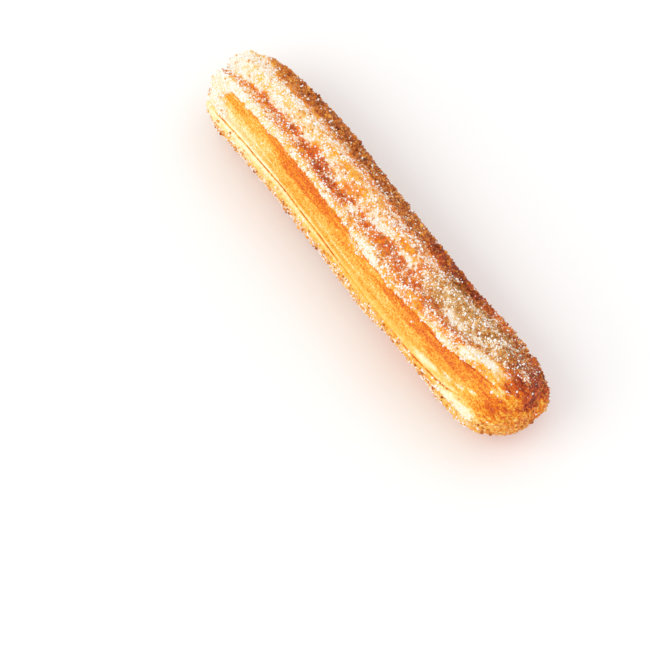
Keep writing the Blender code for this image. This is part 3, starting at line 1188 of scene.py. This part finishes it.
@dataclass
class GrainCoat:
    """One kind of grain sown over the crust, each grain a small closed solid partly sunk in.

    The sowing starts where the field it follows is bare_below, and is thickest from full_above on.
    """

    name: str
    shape: GrainShape
    finish: GrainFinish
    smallest: float
    largest: float
    spacing: float
    per_square_cm: float
    follows: str
    bare_below: float
    full_above: float
    seed: int
    sunk: float = 0.15
    proud: float = 0.22
    follows_browning: float = 0.0
    slimmest: tuple[float, float, float] = (0.7, 0.7, 0.6)
    stoutest: tuple[float, float, float] = (1.15, 1.15, 1.0)
    roughened: float = 0.07
    piece: Object | None = None

    def build(self, crust: Object) -> None:
        """Sow the grains over the crust.

        Args:
            crust: the surface to sow on.
        """
        grain = self._model_grain()
        grain.data.materials.append(self.finish.build())
        bpy.ops.object.select_all(action="DESELECT")
        bpy.ops.mesh.primitive_plane_add(size=1.0 * MM)
        self.piece = bpy.context.active_object
        self.piece.name = self.name
        self.piece.data.name = self.name
        modifier = self.piece.modifiers.new("sow", "NODES")
        modifier.node_group = self._sowing(crust, grain)
        select_only(self.piece)
        bpy.ops.object.modifier_apply(modifier=modifier.name)
        bpy.data.objects.remove(grain, do_unlink=True)

    def dress(self) -> None:
        """Let the finished coat ride on the churro; its grains brought their finish."""
        ride(self.piece)

    def _model_grain(self) -> Object:
        """Cut one grain of unit size.

        Returns:
            The grain.
        """
        bpy.ops.object.select_all(action="DESELECT")
        if self.shape is GrainShape.CRUMB:
            bpy.ops.mesh.primitive_ico_sphere_add(subdivisions=1, radius=0.5)
        elif self.shape is GrainShape.CHIP:
            bpy.ops.mesh.primitive_cone_add(
                vertices=4, radius1=0.5, radius2=0.0, depth=0.5, location=(0.0, 0.0, 0.25))
        else:
            bpy.ops.mesh.primitive_cube_add(size=0.8)
        grain = bpy.context.active_object
        grain.name = f"one_{self.name}"
        bpy.ops.object.mode_set(mode="EDIT")
        bpy.ops.mesh.select_all(action="SELECT")
        bpy.ops.transform.vertex_random(offset=self.roughened, seed=self.seed)
        bpy.ops.object.mode_set(mode="OBJECT")
        if self.shape is GrainShape.CRUMB:
            bpy.ops.object.shade_smooth()
        return grain

    def _sowing(self, crust: Object, grain: Object) -> NodeTree:
        """Lay out the sowing: spread points by the crust's field, then stand a grain on each.

        Args:
            crust: the surface to sow on.
            grain: the grain to copy.

        Returns:
            The node tree.
        """
        tree = bpy.data.node_groups.new(f"sow_{self.name}", "GeometryNodeTree")
        for way in ("INPUT", "OUTPUT"):
            tree.interface.new_socket("Geometry", in_out=way, socket_type="NodeSocketGeometry")
        surface = add_node(tree, "GeometryNodeObjectInfo", {"Object": crust})
        # the grains' tint follows the browning field, and with it the painted light and shade folded into it
        clinging, fried = (
            add_node(tree, "GeometryNodeInputNamedAttribute", {"Name": name}, data_type="FLOAT")
            for name in (self.follows, "browning"))
        share = add_node(tree, "ShaderNodeMapRange", {
            "Value": clinging, "From Min": self.bare_below, "From Max": self.full_above})
        spread = add_node(tree, "GeometryNodeDistributePointsOnFaces", {
            "Mesh": surface.outputs["Geometry"], "Distance Min": self.spacing,
            "Density Max": self.per_square_cm / SQUARE_CM, "Density Factor": share,
            "Seed": self.seed}, distribute_method="POISSON")
        # each draw takes the next seed: lift, turn, size, build and tint
        lift, turn, size, build, chance = (
            add_node(tree, "FunctionNodeRandomValue", {
                DRAWN[kind][0]: least, DRAWN[kind][1]: most, "Seed": self.seed + draw}, data_type=kind)
            for draw, (kind, least, most) in enumerate((
                ("FLOAT", -self.sunk * self.largest, self.proud * self.largest),
                ("FLOAT_VECTOR", (0.0, 0.0, 0.0), (math.tau, math.tau, math.tau)),
                ("FLOAT", self.smallest, self.largest),
                ("FLOAT_VECTOR", self.slimmest, self.stoutest),
                ("FLOAT", 0.0, 1.0)), start=1))
        shift = add_node(tree, "ShaderNodeVectorMath", {
            0: spread.outputs["Normal"], "Scale": lift}, operation="SCALE")
        placed = add_node(tree, "GeometryNodeSetPosition", {
            "Geometry": spread.outputs["Points"], "Offset": shift})
        scale = add_node(tree, "ShaderNodeVectorMath", {0: build, "Scale": size}, operation="SCALE")
        shape = add_node(tree, "GeometryNodeObjectInfo", {"Object": grain, "As Instance": True})
        stood = add_node(tree, "GeometryNodeInstanceOnPoints", {
            "Points": placed, "Instance": shape.outputs["Geometry"], "Rotation": turn, "Scale": scale})
        tint = add_node(tree, "ShaderNodeMix", {
            "Factor": self.follows_browning, NUMBER_A: chance, NUMBER_B: fried}, data_type="FLOAT")
        tinted = add_node(tree, "GeometryNodeStoreNamedAttribute", {
            "Geometry": stood, "Name": "tint", "Value": tint}, data_type="FLOAT", domain="INSTANCE")
        solid = add_node(tree, "GeometryNodeRealizeInstances", {"Geometry": tinted})
        add_node(tree, "NodeGroupInput")
        add_node(tree, "NodeGroupOutput", {0: solid})
        return tree


@dataclass(frozen=True)
class Lamp:
    """One soft square lamp: where it hangs from the churro's middle, its side, power and colour."""

    name: str
    right: float
    away: float
    up: float
    size: float
    power: float
    colour: str

    def build(self, middle: Vector, right: Vector, away: Vector) -> None:
        """Hang the lamp and turn it to the churro.

        Args:
            middle: the middle of the churro.
            right: the camera's right.
            away: the level direction that the camera looks in.
        """
        place = middle + right * self.right + away * self.away + Vector((0.0, 0.0, 1.0)) * self.up
        bpy.ops.object.select_all(action="DESELECT")
        bpy.ops.object.light_add(type="AREA", location=place)
        lamp = bpy.context.active_object
        lamp.name = self.name
        lamp.data.size = self.size
        lamp.data.energy = self.power
        lamp.data.color = linear(self.colour)[:3]
        lamp.rotation_euler = (middle - place).to_track_quat("-Z", "Y").to_euler()


@dataclass(frozen=True)
class PalePaper:
    """Matt pale paper, which gives the floor an even near-white with no gloss."""

    name: str = "pale_paper"
    colour: str = "#FAFAFA"
    roughness: float = 0.9
    shine: float = 0.1

    def build(self) -> Material:
        """Build the finish.

        Returns:
            The finished material.
        """
        material, tree, shader = new_material(self.name)
        connect(tree, shader, {
            "Base Color": linear(self.colour), "Roughness": self.roughness,
            "Specular IOR Level": self.shine})
        return material


@dataclass
class Studio:
    """The plain pale floor, the soft lights and the camera."""

    azimuth: float = 52.5
    elevation: float = 67.0
    lens: float = 220.0
    sensor: float = 36.0
    nearest: float = 0.05
    frame_width: float = 158.1 * MM
    place_right: float = 0.0751
    place_up: float = 0.1268
    floor_size: float = 6.0
    surround: str = "#FFFFFF"
    surround_strength: float = 0.88
    lamps: tuple[Lamp, ...] = (
        Lamp("key", right=-0.55, away=-0.18, up=0.50, size=0.60, power=1.7, colour="#FFFDF8"),
        Lamp("fill", right=0.50, away=0.30, up=0.55, size=0.80, power=1.0, colour="#FFFFFF"))

    def build(self) -> None:
        """Set up the floor, the lights and the camera."""
        self._floor()
        self._world()
        lo, hi = CAD_BOX
        middle = (lo + hi) / 2.0
        turn = math.radians(self.azimuth)
        right = Vector((math.cos(turn), math.sin(turn), 0.0))
        away = Vector((-math.sin(turn), math.cos(turn), 0.0))
        for lamp in self.lamps:
            lamp.build(middle, right, away)
        self._camera(middle, right, away)

    def _floor(self) -> None:
        """Lay the floor under the churro."""
        bpy.ops.object.select_all(action="DESELECT")
        bpy.ops.mesh.primitive_plane_add(size=self.floor_size)
        floor = bpy.context.active_object
        floor.name = "floor"
        floor.data.materials.append(PalePaper().build())

    def _world(self) -> None:
        """Surround the churro with soft white light."""
        world = bpy.data.worlds.new("soft_box")
        world.use_nodes = True
        connect(world.node_tree, world.node_tree.nodes["Background"], {
            "Color": linear(self.surround), "Strength": self.surround_strength})
        bpy.context.scene.world = world
        bpy.context.scene.view_settings.view_transform = "Standard"

    def _camera(self, middle: Vector, right: Vector, away: Vector) -> None:
        """Stand the camera so that the churro takes its place in the frame.

        Args:
            middle: the middle of the churro.
            right: the camera's right.
            away: the level direction that the camera looks in.
        """
        tilt = math.radians(self.elevation)
        look = away * math.cos(tilt) - Vector((0.0, 0.0, 1.0)) * math.sin(tilt)
        rise = right.cross(look)
        distance = self.frame_width * self.lens / self.sensor
        aim = middle - right * self.place_right * self.frame_width - rise * self.place_up * self.frame_width
        bpy.ops.object.camera_add(location=aim - look * distance)
        camera = bpy.context.active_object
        camera.name = "camera"
        camera.data.lens = self.lens
        camera.data.sensor_width = self.sensor
        camera.data.clip_start = self.nearest
        camera.rotation_euler = look.to_track_quat("-Z", "Y").to_euler()
        bpy.context.scene.camera = camera


# The grains of the coat, in the order that they are sown
COATS = (
    GrainCoat("white_sugar", GrainShape.CRYSTAL, WHITE_SUGAR, smallest=0.28 * MM, largest=0.60 * MM,
              spacing=0.34 * MM, per_square_cm=350.0, follows="sown", bare_below=0.20, full_above=1.05,
              seed=21),
    GrainCoat("fine_sugar", GrainShape.CHIP, FINE_SUGAR, smallest=0.24 * MM, largest=0.42 * MM,
              spacing=0.24 * MM, per_square_cm=460.0, follows="sown", bare_below=0.12, full_above=0.85,
              seed=42),
    GrainCoat("browned_sugar", GrainShape.CRYSTAL, BROWNED_SUGAR, smallest=0.34 * MM, largest=0.68 * MM,
              spacing=0.45 * MM, per_square_cm=170.0, follows="caramel", bare_below=0.20, full_above=0.75,
              seed=63, follows_browning=0.7),
    GrainCoat("fried_crumbs", GrainShape.CRUMB, FRIED_CRUMB, smallest=0.70 * MM, largest=1.50 * MM,
              spacing=0.90 * MM, per_square_cm=80.0, follows="crumbly", bare_below=0.10, full_above=0.95,
              seed=84, sunk=0.30, proud=0.08, follows_browning=0.52),
    GrainCoat("fine_crumbs", GrainShape.CRUMB, FINE_CRUMB, smallest=0.38 * MM, largest=0.80 * MM,
              spacing=0.45 * MM, per_square_cm=170.0, follows="crumbly", bare_below=0.10, full_above=0.90,
              seed=105, sunk=0.22, proud=0.12, follows_browning=0.52),
)


def main() -> None:
    """Build the churro and its studio in order."""
    logging.basicConfig(level=logging.INFO, format="%(name)s: %(message)s")
    crust = Crust()
    crust.build()
    for coat in COATS:
        coat.build(crust.piece)
        coat.dress()
    crust.dress()
    Studio().build()


if __name__ == "__main__":
    main()
